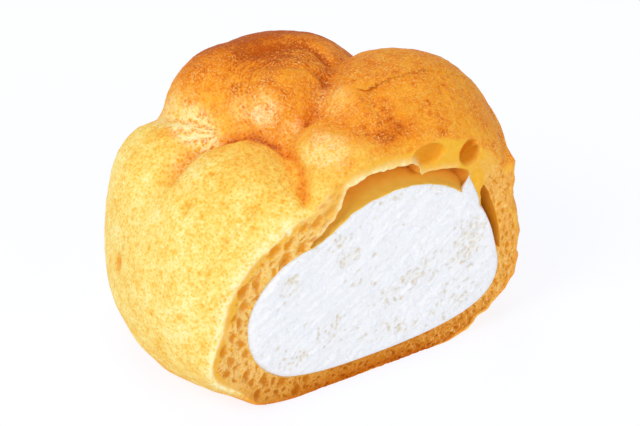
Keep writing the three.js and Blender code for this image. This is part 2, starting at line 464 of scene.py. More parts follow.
def crust_skin(rays):
    """Where the crust lies in each direction, and the marks that its finish follows."""
    plain, crease = crust_lobes(rays)
    base = HEART + rays * plain[:, None]
    wrinkle = rough(base * np.array([1, 1, 0.5]), *WRINKLES)
    grain, pore = skin_grain(base)
    fold_depth, fold_colour = lobe_folds(base, wrinkle)
    knob_relief, knob_colour = knob_folds(base, wrinkle)
    from_knob, ringed, rings = knob_rings(base, wrinkle)
    stretched, fan, crumple = crumpled_patch(base)
    dented = np.max([bell(away(base, place), radius) for place, radius, _ in DENTS], axis=0)
    relief = grain - crease * (1 + 0.25 * wrinkle) - fold_depth + knob_relief
    relief += KNOB_RINGS["height"] * rings + crumple + lifted_flake(base) + ragged_edge(base)
    relief += humps(base, NUDGES) - humps(base, DENTS)
    size, seed, height = UNDERSIDE_WAVES
    under = reach_of_dish(rays, UNDERSIDE) + height * rough(base, size, seed)
    reach = soft_min([plain + relief, under], UNDERSIDE_BLEND) + humps(base, SPREAD_FOOT)
    return reach, {
        "fold": np.clip(crease / 2.4, 0, 0.7) + fold_colour + knob_colour + KNOB_RINGS["deeper"] * rings,
        "pore": np.maximum(pore, 1.2 * dented),
        "pale": paleness(base, wrinkle, stretched),
        "stroke": np.where(stretched > 0, fan * 2.2, from_knob),
        "stroked": np.maximum(2.5 * stretched, 0.5 * ringed),
    }


# ---------------------------------------------------------------- meshes


def select_nothing():
    if bpy.context.object and bpy.context.object.mode != "OBJECT":
        bpy.ops.object.mode_set(mode="OBJECT")
    bpy.ops.object.select_all(action="DESELECT")


def take(thing):
    select_nothing()
    bpy.context.view_layer.objects.active = thing
    thing.select_set(True)


def numbers(items, name, kind=float, each=1):
    """One property of all vertices, loops or faces of a mesh."""
    flat = np.empty(len(items) * each, dtype=kind)
    items.foreach_get(name, flat)
    return flat


def places(thing):
    return numbers(thing.data.vertices, "co", each=3).reshape(-1, 3)


def put(thing, points):
    thing.data.vertices.foreach_set("co", np.asarray(points, dtype=float).ravel())
    thing.data.update()


def globe(name, coarse, cuts):
    """A ball of even triangles, one unit in radius."""
    select_nothing()
    bpy.ops.mesh.primitive_ico_sphere_add(subdivisions=coarse, radius=1)
    ball = bpy.context.object
    ball.name = name
    bpy.ops.object.mode_set(mode="EDIT")
    bpy.ops.mesh.select_all(action="SELECT")
    bpy.ops.mesh.subdivide(number_cuts=cuts)
    bpy.ops.object.mode_set(mode="OBJECT")
    put(ball, unit(places(ball)))
    return ball


def skin_from(name, coarse, cuts, reach):
    ball = globe(name, coarse, cuts)
    rays = places(ball)
    put(ball, HEART + rays * reach(rays)[:, None])
    return ball


def combine(thing, other, operation):
    """Joins, cuts or keeps what is common, and deletes the other solid."""
    take(thing)
    step = thing.modifiers.new("cut", "BOOLEAN")
    step.operation = operation
    step.solver = "MANIFOLD"
    step.object = other
    bpy.ops.object.modifier_apply(modifier=step.name)
    bpy.data.objects.remove(other)


def standing_block(name, low, high, pitch, front):
    """A block that stands behind a knife's face, and is deeper than the bun: front(x, z) says how
    deep behind the knife's plane the face lies."""
    across, up = (int(round((high[i] - low[i]) / pitch)) for i in range(2))
    select_nothing()
    bpy.ops.mesh.primitive_grid_add(x_subdivisions=across, y_subdivisions=up, size=1)
    block = bpy.context.object
    block.name = name
    flat = places(block) + 0.5
    x = low[0] + flat[:, 0] * (high[0] - low[0])
    z = low[1] + flat[:, 1] * (high[1] - low[1])
    put(block, set_out(x, z, CUT_Y + front(x, z)))
    bpy.ops.object.mode_set(mode="EDIT")
    bpy.ops.mesh.select_all(action="DESELECT")
    bpy.ops.mesh.select_mode(type="EDGE")
    bpy.ops.mesh.select_non_manifold()
    bpy.ops.mesh.extrude_edges_move(TRANSFORM_OT_translate={"value": (0, BLOCK_DEPTH, 0)})
    bpy.ops.transform.resize(value=(1, 0, 1))
    bpy.ops.mesh.edge_face_add()
    bpy.ops.mesh.select_mode(type="VERT")
    bpy.ops.mesh.select_all(action="SELECT")
    bpy.ops.mesh.normals_make_consistent(inside=False)
    bpy.ops.object.mode_set(mode="OBJECT")
    return block


def mark(thing, **marks):
    """Gives each vertex a number under each name, for the finishes to read."""
    for name, values in marks.items():
        layer = thing.data.attributes.new(name, "FLOAT", "POINT")
        layer.data.foreach_set("value", np.asarray(values, dtype=np.float32))


def finish_piece(thing, points, finishes):
    """Sets a piece in the part's frame and gives it its finishes."""
    put(thing, to_part(points))
    thing.data.materials.clear()
    for finish in finishes:
        thing.data.materials.append(finish)
    take(thing)
    bpy.ops.object.shade_smooth()


# ---------------------------------------------------------------- the open crumb at the cut

# The air space under the roof: how far its edge lies from its middle, by the angle on the
# knife's face. A small tooth hangs down at 52 degrees.
AIR_MIDDLE = (5.0, 36.0)
AIR_DEPTH = 15.0
AIR_EDGE = [
    (-90, 8), (-20, 15), (0, 19.2), (14, 19.4), (21, 18.5), (32, 15.2), (44, 12.1), (51, 10.9),
    (54, 11.1), (58, 12.2), (65, 12.5), (81, 11.9), (98, 12.1), (114, 13.1), (125, 14.2),
    (133, 14.7), (140, 14.3), (150, 13.6), (160, 13.9), (170, 16), (180, 19.2), (200, 15), (270, 8),
]
# The film of pastry that still covers the cream behind the cut: its thickness at the cut and
# further back, and how far behind the cut it begins to thicken and is whole.
FILM = {"at_cut": 0.12, "behind": 0.9, "grows": (0.2, 4)}
SIDE_SLIT = {"at": (29.9, CUT_Y, 28.2), "size": (1.45, 7, 8.8), "lean": -16, "waves": 0.12, "taper": 0}
# Where the cream was drawn up beside the web of pastry between the air space and the slit.
CREAM_PEAK = {"at": (23.8, CUT_Y, 35.0), "size": (4.8, 5.1, 5.6), "lean": 2, "waves": 0, "taper": 0.9}
WEB = ((26, 37.5), (2.2, 5))  # middle and half sizes of that web, which is smooth
ROOF_BUBBLES = [  # place on the face, half sizes across and up, depth, how dark it is inside (partly painted shade)
    ((13.9, 48.3), (4.1, 2.4), 1.7, 0.75), ((24.1, 45.6), (2.8, 3.0), 2.6, 0.95),
]
# The strand of dough across the right-hand bubble: where it starts, its way and its length.
STRAND = {"from": (21.6, 43.9), "way": (0.83, 0.56), "half": 0.22, "rise": (-0.5, 0.5), "fall": (5.5, 6.2)}
# Large shallow cells that the knife opened at the upper left: x, z, half length, half width, lean.
FLAP_CELLS = [(-22.4, 37.4, 1.9, 1.0, 40), (-19.0, 38.2, 1.4, 1.0, 60), (-12.5, 41.0, 2.1, 1.0, 38),
              (-24.8, 35.2, 0.8, 0.7, 0), (-15.8, 38.6, 1.0, 0.6, 30)]
FLECK = (-18.9, 40.9)  # a pale torn crumb at the upper left of the face
PALE_ROOF = {"middle": (-11, 45.5), "radius": 3.0}  # paler dough at the left end of the roof

# Round the cut, by the angle at HEART: over how wide a rim the face turns back into the crust,
# how far back it turns, and how far in the baked colour reaches (millimetres).
RIM = [
    (-180, 0.8, 0.25, 0.35), (-130, 0.9, 0.35, 0.5), (-60, 0.8, 0.3, 0.8), (-30, 1.0, 0.35, 0.8),
    (20, 1.0, 0.4, 0.7), (42, 2.2, 0.9, 1.2), (60, 2.8, 1.4, 1.0), (80, 3.0, 1.5, 0.8),
    (98, 2.8, 1.4, 0.8), (112, 1.6, 0.7, 0.5), (135, 1.0, 0.35, 0.4), (180, 0.8, 0.25, 0.35),
]
# How deeply the crumb is toasted, by the same angle.
TOAST = [
    (-180, 0.2), (-160, 0.3), (-140, 0.7), (-115, 1.0), (-60, 1.0), (-35, 0.7), (-15, 0.3),
    (20, 0.25), (32, 0.3), (45, 0.15), (90, 0.05), (150, 0.05), (180, 0.2),
]
SMOOTH_ROOF = ((25, 45), (108, 135))  # the angles between which the crumb is smooth
LEFT_WALL = ((118, 135), (192, 206))  # and those of the wall to the left of the cream

# The bubbles that the knife opened, each row up to an angle at HEART: the shortest half length,
# how much longer the longest is, how rare long ones are, width over length, and the lean in
# degrees, or None where they lie along the wall.
BUBBLE_KINDS = [
    (-130, 0.3, 1.2, 5, 0.7, 90),  # the lower left corner: fine foam
    (-35, 0.24, 0.48, 10, 0.625, 8),  # the base: fine and dense
    (30, 0.25, 0.7, 8, 0.5, 96),  # the right wall: upright fibres
    (102, 0, 0, 1, 0, 0),  # the roof: none
    (150, 0.4, 1.7, 3, 0.55, None),  # the upper left: long bubbles
    (172, 0.35, 1.8, 4, 0.6, 75),  # the left wall: bubbles of all sizes
    (180, 0.3, 1.2, 5, 0.7, 90),  # the corner again
]
BUBBLE_SEED = 41
DARTS = 30000  # places that are tried
DART_FIELD = ((-38, 38), (0, 53))
NARROWEST_BUBBLE = 0.18
LEAN_SPREAD = 30  # degrees
NEAR_CRUST = 6  # the crust's relief is only worked out this near to it


def angle_at(x, z):
    return np.degrees(np.arctan2(z - HEART[2], x))


def by_angle(table, angle):
    """The values in a table whose first column is an angle."""
    columns = np.array(table, dtype=float).T
    return [np.interp(angle, columns[0], column) for column in columns[1:]]


def rim_at(x, z):
    """The rim's three values, and how smooth the crumb is, at places on the face."""
    angle = angle_at(x, z)
    return by_angle(RIM, angle) + [band(*SMOOTH_ROOF, angle)]


def on_face(x, z):
    """Rays and distances from HEART for places on the knife's plane."""
    points = set_out(x, z, CUT_Y) - HEART
    distance = np.linalg.norm(points, axis=1)
    return points / distance[:, None], distance


def air_edge(dx, dz):
    angle = np.degrees(np.arctan2(dz, dx))
    return by_angle(AIR_EDGE, np.where(angle < -90, angle + 360, angle))[0]


def air_distance(x, z):
    """How far a place on the face lies outside the air space."""
    return oval(x, z, AIR_MIDDLE) - air_edge(x - AIR_MIDDLE[0], z - AIR_MIDDLE[1])


def slit_distance(x, z):
    at_x, _, at_z = SIDE_SLIT["at"]
    half_u, _, half_v = SIDE_SLIT["size"]
    u, v = along_and_off(x - at_x, z - at_z, way_at(-SIDE_SLIT["lean"]))
    return (oval(u, v, (0, 0), (half_u, half_v)) - 1) * half_u


def face_depths(x, z):
    """For places on the face: millimetres inside the crust, outside the cream, and clear of air."""
    rays, distance = on_face(x, z)
    inside = reach_of_crust(rays) - distance
    near = np.abs(inside) < NEAR_CRUST
    inside[near] = crust_skin(rays[near])[0] - distance[near]
    outside = distance - reach_of_hollow(rays)
    return inside, outside, np.minimum(air_distance(x, z), slit_distance(x, z))


def bubble_rule(angle, chance):
    """Half length, half width and lean of a bubble that the knife opens at an angle."""
    kinds = (kind for kind in BUBBLE_KINDS if angle <= kind[0])
    _, shortest, longer, rarity, slimness, lean = next(kinds)
    length = shortest + longer * chance**rarity
    return length, length * slimness, angle - 90 if lean is None else lean


def open_bubbles():
    """Bubbles that the knife opened, none over another: x, z, half length, half width, lean,
    depth over half width, and how much room it keeps."""
    dice = np.random.default_rng(BUBBLE_SEED)
    x, z = (dice.uniform(*field, DARTS) for field in DART_FIELD)
    angle = angle_at(x, z)
    inside, outside, clear = face_depths(x, z)
    rim = np.where(np.abs(angle) > LEFT_WALL[0][0], 1.6, 0.5)
    good = (inside > rim) & (outside > 0.15) & (clear > 0.3)
    room = np.minimum(np.minimum(inside, outside * 1.2 + 0.3), clear + 0.2)
    chance, spare = (dice.uniform(0, 1, good.sum()) for _ in range(2))
    deep = dice.uniform(0.25, 0.75, good.sum())
    found = []
    for dart in zip(x[good], z[good], angle[good], room[good], chance, spare, deep):
        at_x, at_z, at_angle, space, luck, apart, depth = dart
        length, width, lean = bubble_rule(at_angle, luck)
        width = min(width, space * 0.62)
        length = min(length, max(space * 2.0, width))
        if width > NARROWEST_BUBBLE:
            lean += LEAN_SPREAD * (apart - 0.5)
            found.append((at_x, at_z, length, width, lean, depth, apart))
    found.sort(key=lambda bubble: -bubble[2] * bubble[3])
    kept = [(*cell, 0.5, 0.5) for cell in FLAP_CELLS]
    for bubble in found:
        at_x, at_z, length, width, _, _, apart = bubble
        others = np.array(kept)
        gaps = oval(others[:, 0], others[:, 1], (at_x, at_z))
        reaches = np.sqrt(others[:, 2] * others[:, 3]) + math.sqrt(length * width)
        if (gaps >= reaches * (0.92 + 0.5 * apart)).all():
            kept.append(bubble)
    return kept


BUBBLES = open_bubbles()


def bowl_of(distance):
    """The depth of a round bowl at distances from its middle, both in its radius."""
    return np.sqrt(np.clip(1 - distance**2, 0, 1))


def bubble_depth(x, z):
    """How deep the open bubbles are at places on the face, and how far into one, 0 to 1."""
    depth, core = np.zeros(len(x)), np.zeros(len(x))
    order = np.argsort(x)
    sorted_x = x[order]
    for at_x, at_z, length, width, lean, deep, _ in BUBBLES:
        first, last = np.searchsorted(sorted_x, [at_x - length * 1.1, at_x + length * 1.1])
        near = order[first:last]
        along, off = along_and_off(x[near] - at_x, z[near] - at_z, way_at(lean))
        bowl = bowl_of(oval(along, off, (0, 0), (length, width)))
        depth[near] = np.maximum(depth[near], bowl * width * deep)
        core[near] = np.maximum(core[near], bowl)
    return depth, core


def ragged_bubbles(x, z):
    """The open bubbles with their places pushed about a little, which makes them ragged."""
    flat = set_out(x, z)
    return bubble_depth(x + 0.7 * rough(flat, 1.5, 65), z + 0.7 * rough(flat, 1.5, 66))


def strand_share(x, z):
    along, off = along_and_off(x - STRAND["from"][0], z - STRAND["from"][1], STRAND["way"])
    return bell(off, STRAND["half"]) * band(STRAND["rise"], STRAND["fall"], along)


def face_front(x, z):
    """How deep the knife's face lies behind the plane, for the pastry."""
    inside, outside, clear = face_depths(x, z)
    flat = set_out(x, z)
    round_by, back, _, smooth = rim_at(x, z)
    depth = back * np.clip((round_by - inside) / round_by, 0, 4) ** 2
    by_cream = smooth_step(0, 0.7, outside)
    by_crust = smooth_step(0, 1, inside)
    depth += ragged_bubbles(x, z)[0] * smooth_step(0.3, 0.9, inside) * by_cream
    depth += (0.22 - 0.12 * smooth) * rough(flat, 6, 61)
    depth += 0.08 * rough(flat, 1.4, 62, 3) * by_crust * (1 - 0.6 * smooth)
    depth += 0.35 * np.abs(rough(flat, 1.1, 67)) * by_crust * (1 - smooth) * by_cream
    for place, half, deep, _ in ROOF_BUBBLES:
        uneven = oval(x, z, place, half) + 0.06 * swell(flat, 1.5, 63)
        depth = np.maximum(depth, deep * bowl_of(uneven))
    depth -= strand_share(x, z) * np.minimum(depth, 1.6) * 0.8
    # the torn edge towards the air space thins and turns inwards
    lip = 1 - smooth_step(0, 1.3, clear)
    return depth - 0.3 * lip * (0.6 + 0.8 * swell(flat, 2.0, 64)) * smooth_step(32, 38, z)


# ---------------------------------------------------------------- the shell

CLOSER = np.array([-0.13, -0.17, 0.15])  # crowds the crust's points at the front, left and top
KNIFE_BLOCK = ((-48, -8), (48, 62))
TRAY_MARKS = (1.8, 6, 0.06)  # size, seed and height of the unevenness of the flat underside
DARK_PATCHES = [  # place, radius, how much deeper the bake is
    ((9, -18.5, 54), 3.4, 0.22), ((-2, 12.5, 59.8), 4.5, 0.22), ((5.5, -19.5, 52), 2.0, 0.12),
    ((-42, 6.5, 25.5), 2.2, 0.25), ((-22, -23, 0.5), 7, 0.35),
]
# How deeply the crust is baked all over, and how much more in each region.
BAKE = {
    "everywhere": 0.05, "top": 0.46, "back": 0.42, "right": 0.35, "back_left": 0.16, "foot": 0.25,
    "low": 0.10,
}
HOT_TOP = (34, 57)  # the heat at which the bake begins to deepen, and where it is deepest
NEAR_CUT, NEAR_SKIN, NEAR_TRAY = 0.15, 0.4, 0.25  # how near a point lies to a surface it is on


def air_solid():
    air = globe("air", 3, 7)
    rays = places(air)
    flat = np.hypot(rays[:, 0], rays[:, 2])
    edge = air_edge(rays[:, 0], rays[:, 2]) + 0.8 * rough(rays * 12, 1.6, 70, 3)
    reach = 1 / np.sqrt((flat / edge) ** 2 + (rays[:, 1] / AIR_DEPTH) ** 2)
    put(air, rays * reach[:, None] + np.array([AIR_MIDDLE[0], CUT_Y, AIR_MIDDLE[1]]))
    film = skin_from("film", *HOLLOW_GLOBE, reach_of_hollow)
    points = places(film)
    thicker = smooth_step(*FILM["grows"], points[:, 1] - CUT_Y)
    thickness = FILM["at_cut"] + (FILM["behind"] - FILM["at_cut"]) * thicker
    put(film, points + unit(points - HEART) * thickness[:, None])
    combine(air, film, "DIFFERENCE")
    return air


def leaning_ball(name, form):
    """A rough ball stretched, drawn out at the top, leaned over and set on the knife's plane."""
    ball = globe(name, 3, 3)
    points = places(ball)
    narrow = ((1.0001 - points[:, 2]) / 2) ** form["taper"]
    points = points * set_out(narrow, np.ones(len(narrow)), narrow)
    points = points * (1 + form["waves"] * rough(points * 10, 5, 75))[:, None] * np.array(form["size"])
    x, z = along_and_off(points[:, 0], points[:, 2], way_at(form["lean"]))
    put(ball, set_out(x, z, points[:, 1]) + np.array(form["at"]))
    return ball


def make_shell():
    shell = globe("baked_shell", *CRUST_GLOBE)
    rays = unit(places(shell) + CLOSER)
    points = HEART + rays * crust_skin(rays)[0][:, None]
    size, seed, height = TRAY_MARKS
    tray = FLAT_Z + height * (1 + rough(points, size, seed))
    z = points[:, 2]
    points[:, 2] = np.maximum(np.where(z < tray + 0.15, np.maximum(z, tray), z), FLAT_Z)
    put(shell, points)
    combine(shell, skin_from("hollow", *HOLLOW_GLOBE, reach_of_hollow), "DIFFERENCE")
    combine(shell, air_solid(), "DIFFERENCE")
    combine(shell, leaning_ball("slit", SIDE_SLIT), "DIFFERENCE")
    combine(shell, leaning_ball("peak", CREAM_PEAK), "DIFFERENCE")
    combine(shell, standing_block("knife", *KNIFE_BLOCK, KNIFE_PITCH, face_front), "INTERSECT")
    return shell


def face_finishes(shell, on_crust, on_cut):
    """The finish of each face: 0 crust, 1 crumb, 2 lining."""
    loops = numbers(shell.data.loops, "vertex_index", np.int32)
    starts = numbers(shell.data.polygons, "loop_start", np.int32)
    corners = np.diff(np.append(starts, len(loops)))

    def corners_in(chosen):
        return np.add.reduceat(chosen[loops].astype(int), starts)

    is_crust = (corners_in(on_crust | on_cut) == corners) & (corners_in(on_crust) > 0)
    return np.where(corners_in(on_cut) == corners, 1, np.where(is_crust, 0, 2))


def how_baked(points):
    """How deeply the crust is baked at each place, from 0 to about 1."""
    x, y, z = points.T
    heat = z + 0.26 * x + 0.10 * y  # the oven was hottest above, on the right and at the back
    behind = smooth_step(8, 26, y + 2 * rough(points, 6, 82)) * smooth_step(-24, -4, x)
    back_left = smooth_step(14, 28, y) * smooth_step(-28, -14, x) * (1 - smooth_step(42, 52, z))
    shares = {
        "everywhere": 1,
        "top": smooth_step(*HOT_TOP, heat + 2 * rough(points, 9, 81)),
        "back": behind * smooth_step(44, 56, z),
        "right": smooth_step(26, 40, x) * (1 - smooth_step(*HOT_TOP, heat)),
        "back_left": back_left,
        "foot": 1 - smooth_step(1.5, 7, z),
        "low": 1 - smooth_step(6, 20, z),
    }
    bake = sum(BAKE[region] * share for region, share in shares.items())
    return bake + humps(points, DARK_PATCHES)


def how_smooth(points, smooth, inside, left_wall):
    """Where the crumb is smooth: the roof, the rim of the left wall and the web by the slit."""
    rim = 1 - smooth_step(1.0, 2.4, inside + 0.8 * rough(points, 2.5, 86))
    web = 1 - smooth_step(0.7, 1.2, oval(points[:, 0], points[:, 2], *WEB))
    return np.max([smooth, 0.9 * rim * left_wall, web], axis=0)


def torn_pale_and_rim_highlight(points, inside, clear, left_wall):
    """Where torn dough is thin and palest: the lip of the air space, a fleck and paler dough on the roof;
    and a painted highlight along the rim of the left wall.
    """
    x, _, z = points.T
    torn = 0.6 + 0.4 * smooth_step(-0.4, 0.3, swell(points, 1.1, 85))
    lip = bell(np.maximum(clear, 0), 1.0) * smooth_step(36, 39, z)
    lip = lip * (1 - smooth_step(9, 13, x) * 0.6) * (1 - smooth_step(20, 22, x)) * torn
    fleck = 1 - smooth_step(0.5, 1.0, oval(x, z, FLECK) + 0.4 * swell(points, 0.8, 87))
    roof = 0.35 * torn * bell(oval(x, z, PALE_ROOF["middle"]), PALE_ROOF["radius"])
    # painted highlight along the rim of the left wall
    rim = 0.95 * torn * bell(inside - 0.2, 0.4) * left_wall
    return np.max([lip, fleck, roof, rim], axis=0)


def finish_shell(shell, finishes):
    points = places(shell)
    x, y, z = points.T
    distance = np.linalg.norm(points - HEART, axis=1)
    reach, marks = crust_skin(unit(points - HEART))
    inside, _, clear = face_depths(x, z)
    angle = angle_at(x, z)
    left_wall = band(*LEFT_WALL, angle % 360)
    _, _, skin_depth, smooth = rim_at(x, z)
    skin_depth = skin_depth * (1 + 0.35 * rough(points, 2.5, 83))
    smooth = how_smooth(points, smooth, inside, left_wall)
    # what lies on the crust and on the cut, which share the thin baked rim
    on_cut = np.abs(y - CUT_Y - face_front(x, z)) < NEAR_CUT
    on_crust = (np.abs(distance - reach) < NEAR_SKIN) | (z < FLAT_Z + NEAR_TRAY)
    on_crust |= on_cut & (inside <= skin_depth * 0.5)
    on_cut &= inside > skin_depth * 0.3
    # a painted highlight along the crust's edge beside the cut at the left, drawn as paler skin
    painted_rim_highlight = smooth_step(16, 22, -x) * bell(y - CUT_Y, 1.3) * smooth_step(3, 10, z)
    marks["pale"] = np.maximum(marks["pale"], 0.8 * painted_rim_highlight * on_crust)
    # the insides of bubbles are darker amber, most in the middle: partly their own glossy skin, partly
    # painted shade; they are lighter at the top left, and the roof's own are dark
    core = ragged_bubbles(x, z)[1] * (1 - 0.6 * band((88, 98), (108, 118), angle))
    for place, half, _, dark in ROOF_BUBBLES:
        core = np.maximum(core, dark * (1 - smooth_step(0.8, 1.0, oval(x, z, place, half))))
    toast = by_angle(TOAST, angle)[0] * (1.15 - 0.1 * np.clip(inside, 0, 4))
    mark(
        shell, bake=how_baked(points), **marks, bubble=np.where(on_cut, core, 0),
        inside=np.where(on_cut, inside / skin_depth, 0), smooth=smooth,
        lip=torn_pale_and_rim_highlight(points, inside, clear, left_wall), toast=toast + 0.12 * rough(points, 3, 84),
        # the side slit, where the lining gets painted shade
        slit=smooth_step(25.5, 27, x) * smooth_step(20, 24, z),
        amber=smooth_step(2, 22, x) * (1 - smooth),
    )
    finish_piece(shell, points, finishes)
    finish_of_face = face_finishes(shell, on_crust, on_cut).astype(np.int32)
    shell.data.polygons.foreach_set("material_index", finish_of_face)
    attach(shell, "root")
    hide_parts("choux_shell")


# ---------------------------------------------------------------- the cream

SPATULA_BLOCK = ((-40, -4), (40, 52))
SPATULA_LEAN = 30  # degrees: the way the cream was smeared
# The cream's face: waves in it, streaks along the smear and finer grain, each with its size, its
# seed and its height. Streaks and grain are drawn out along the smear by the last number.
CREAM_WAVES = (6, 91, 0.34)
CREAM_STREAKS = [(0.9, 92, 0.28, 6), (0.7, 94, 0.20, 1.6)]
PIT_DEPTH = 0.55
PIT_RADIUS = 0.34
PIT_SPACINGS = ((0.75, 95), (1.3, 101))  # spacing, seed
STRAY_PITS = 0.01  # the share of spots that are pits outside the pitted areas
CREAM_PITS = [  # middle and half sizes of the areas where the cream's face is pitted, amount
    ((-9, 35), (4.5, 2.5), 0.9), ((-5.5, 30.5), (4, 2.2), 0.8), ((-19, 28), (3, 3.5), 0.8),
    ((3, 40.5), (5, 1.6), 0.5), ((14, 39.5), (6, 1.6), 0.5), ((25, 24), (5, 7), 0.8),
    ((15, 21), (8, 4), 0.7), ((6, 17.5), (6, 3), 0.45), ((22, 13), (6, 4), 0.5),
    ((-8, 14), (6, 4), 0.6), ((-18, 11), (4, 3), 0.7), ((3, 9), (8, 3), 0.45),
    ((-2, 24), (5, 3), 0.35), ((14, 8), (9, 3), 0.3),
]


def cream_pits(x, z):
    """How deep in a pit each place of the face lies, and how pitted the area is, 0 to 1."""
    flat = set_out(x, z)
    amount = np.zeros(len(x))
    for place, half, most in CREAM_PITS:
        amount = np.maximum(amount, most * (1 - smooth_step(0.4, 1.2, oval(x, z, place, half))))
    amount = amount * (0.25 + 0.75 * smooth_step(-0.25, 0.35, rough(flat, 2.6, 98)))
    flat = flat + 0.25 * rough(flat, 1.2, 97)[:, None]
    pits = np.zeros(len(x))
    for spacing, seed in PIT_SPACINGS:
        spot, number = nearest_spots(flat, spacing, seed)
        picked = (number < 1.05 * amount) | (number > 1 - STRAY_PITS)
        pits = np.maximum(pits, np.where(picked, bell(spot, PIT_RADIUS), 0))
    return pits, amount


def cream_front(x, z):
    """How deep the cream's face lies behind the plane: it bulges a little, most on the left."""
    rays, distance = on_face(x, z)
    edge = np.maximum(reach_of_hollow(rays) - distance, 0)
    left = smooth_step(4, 24, -x)
    past = np.clip(1 - edge / (0.5 + 1.6 * left), 0, 1)
    bulge = (0.15 + 0.55 * left) * past**2 - 0.15 - 0.25 * left
    size, seed, height = CREAM_WAVES
    relief = height * rough(set_out(x, z), size, seed, 3)
    along, off = along_and_off(x, z, way_at(SPATULA_LEAN))
    for size, seed, height, drawn_out in CREAM_STREAKS:
        relief += height * rough(set_out(along / drawn_out, off), size, seed)
    return bulge + smooth_step(0, 1.5, edge) * (relief + PIT_DEPTH * cream_pits(x, z)[0])


def make_cream(finish):
    cream = skin_from("whipped_cream", *HOLLOW_GLOBE, lambda rays: reach_of_hollow(rays) - CREAM_GAP)
    combine(cream, leaning_ball("peak", CREAM_PEAK), "UNION")
    combine(cream, standing_block("spatula", *SPATULA_BLOCK, SPATULA_PITCH, cream_front), "INTERSECT")
    points = places(cream)
    x, y, z = points.T
    pits, amount = cream_pits(x, z)
    at_face = 1 - smooth_step(0, 6, y - CUT_Y)
    mark(cream, pit=pits * at_face, stain=amount * at_face)
    finish_piece(cream, points, [finish])
    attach(cream, "root")
    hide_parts("cream_filling")


# ---------------------------------------------------------------- wiring up finishes


def colour(red, green, blue):
    """A screen colour, 0 to 255, as the shader wants it."""
    def linear(value):
        value /= 255
        return value / 12.92 if value <= 0.04045 else ((value + 0.055) / 1.055) ** 2.4
    return (linear(red), linear(green), linear(blue), 1.0)


def scale_for(size):
    """The texture scale that gives waves or cells of a size in millimetres."""
    return 1 / (size * MM)


class Wiring:
    """Adds nodes to a tree and joins them up."""

    def __init__(self, tree):
        self.tree = tree

    def add(self, kind, inputs=None, **settings):
        node = self.tree.nodes.new(kind)
        for name, value in settings.items():
            setattr(node, name, value)
        for name, value in (inputs or {}).items():
            self.feed(node.inputs[name], value)
        return node.outputs

    def feed(self, socket, value):
        if isinstance(value, bpy.types.NodeSocket):
            self.tree.links.new(value, socket)
        else:
            socket.default_value = value

    def place(self):
        return self.add("ShaderNodeTexCoord")["Object"]

    def attribute(self, name):
        return self.add("ShaderNodeAttribute", attribute_name=name)["Fac"]

    def math(self, operation, one, other=0.0, clamp=False):
        return self.add("ShaderNodeMath", {0: one, 1: other}, operation=operation, use_clamp=clamp)[0]

    def vector(self, operation, one, other):
        return self.add("ShaderNodeVectorMath", {0: one, 1: other}, operation=operation)[0]

    def times(self, value, *others, clamp=False):
        for other in others:
            value = self.math("MULTIPLY", value, other, clamp)
        return value

    def plus(self, total, value, amount, clamp=False):
        return self.math("ADD", total, self.times(value, amount), clamp)

    def centred(self, value):
        return self.math("SUBTRACT", value, 0.5)

    def spread(self, value, low, high, to_low=0.0, to_high=1.0):
        return self.add("ShaderNodeMapRange", {
            "Value": value, "From Min": low, "From Max": high, "To Min": to_low, "To Max": to_high,
        })["Result"]

    def fade(self, value, least):
        """1 where the value is 0, and the least where it is 1."""
        return self.spread(value, 0.0, 1.0, 1.0, least)

    def mix(self, amount, one, other):
        return self.add("ShaderNodeMix", {0: amount, 6: one, 7: other}, data_type="RGBA")[2]

    def ramp(self, amount, stops):
        colours = self.add("ShaderNodeValToRGB", {"Fac": amount})["Color"]
        points = colours.node.color_ramp.elements
        while len(points) < len(stops):
            points.new(0.5)
        for point, (position, shade) in zip(points, stops):
            point.position, point.color = position, colour(*shade)
        return colours

    def noise(self, where, scale, detail, roughness):
        return self.add("ShaderNodeTexNoise", {
            "Vector": where, "Scale": scale, "Detail": detail, "Roughness": roughness,
        })["Fac"]

    def cells(self, where, scale):
        return self.add("ShaderNodeTexVoronoi", {"Vector": where, "Scale": scale}, feature="F1")

    def pushed(self, where, size, amount):
        """Places moved about at random in waves of a size, by about an amount, in millimetres."""
        push = self.add("ShaderNodeTexNoise", {"Vector": where, "Scale": scale_for(size)})["Color"]
        push = self.vector("SUBTRACT", push, (0.5, 0.5, 0.5))
        push = self.add("ShaderNodeVectorMath", {0: push, "Scale": 2 * amount * MM}, operation="SCALE")[0]
        return self.vector("ADD", where, push)

    def threads(self, where, sizes, thickness):
        """Thin winding lines, as in a skin that dried, at each of the given sizes in millimetres."""
        lines = 0.0
        for size in sizes:
            from_line = self.math("ABSOLUTE", self.centred(self.noise(where, scale_for(size), 1.0, 0.4)))
            lines = self.math("MAXIMUM", lines, self.spread(from_line, 0.0, thickness, 1.0, 0.0))
        return lines

    def net(self, where, size, thickness):
        """Thin walls between cells of about the given size in millimetres, as in foam."""
        from_wall = self.add("ShaderNodeTexVoronoi", {"Vector": where, "Scale": scale_for(size)},
                             feature="DISTANCE_TO_EDGE")["Distance"]
        return self.spread(from_wall, 0.0, thickness, 1.0, 0.0)


SOCKET_KINDS = {"Vector": "NodeSocketVector", "Color": "NodeSocketColor"}  # the others are numbers


def group(name, inputs, outputs):
    """A node group with named sockets: its tree, its wiring, what comes in and what goes out."""
    tree = bpy.data.node_groups.new(name, "ShaderNodeTree")
    for in_out, labels in (("INPUT", inputs), ("OUTPUT", outputs)):
        for label in labels:
            kind = SOCKET_KINDS.get(label, "NodeSocketFloat")
            tree.interface.new_socket(label, in_out=in_out, socket_type=kind)
    given = tree.nodes.new("NodeGroupInput").outputs
    return tree, Wiring(tree), given, tree.nodes.new("NodeGroupOutput").inputs


